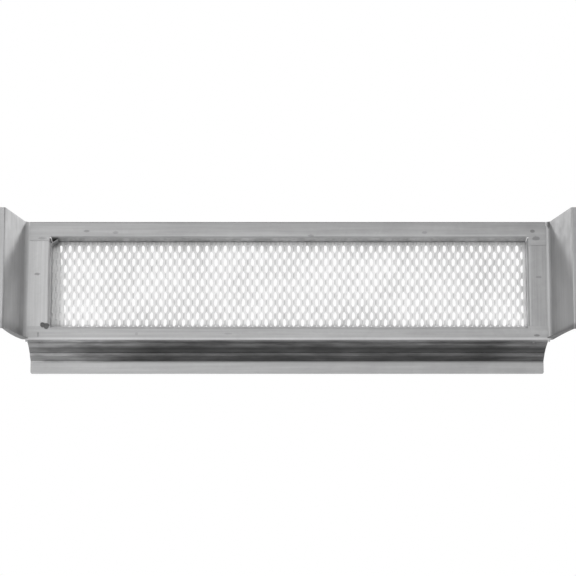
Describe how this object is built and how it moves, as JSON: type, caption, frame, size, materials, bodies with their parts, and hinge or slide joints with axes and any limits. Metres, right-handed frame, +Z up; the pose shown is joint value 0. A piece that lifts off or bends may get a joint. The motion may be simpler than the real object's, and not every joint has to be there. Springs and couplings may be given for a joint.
{
  "type": "eave vent",
  "caption": "Open eave vent: a long folded galvanised frame with an expanded-metal screen, two forward rafter ears and a stepped cove with a wall flange below.",
  "frame": {"origin": "middle of the wall flange's back face", "axes": "+X along the vent to the right seen from the front, +Y back towards the wall, +Z up"},
  "size_m": [0.607, 0.0829, 0.1609],
  "materials": {
    "galvanised_head": "galvanised sheet, dull grey with faint streaks along the rail",
    "galvanised_sill": "galvanised sheet, dull grey with streaks along the cove",
    "galvanised_ends": "galvanised sheet, dull grey with faint upright streaks",
    "expanded_metal": "galvanised expanded metal"
  },
  "bodies": {
    "root": {"head_rail": "galvanised_head", "sill": "galvanised_sill", "left_end": "galvanised_ends", "right_end": "galvanised_ends", "screen": "expanded_metal"}
  },
  "joints": []
}
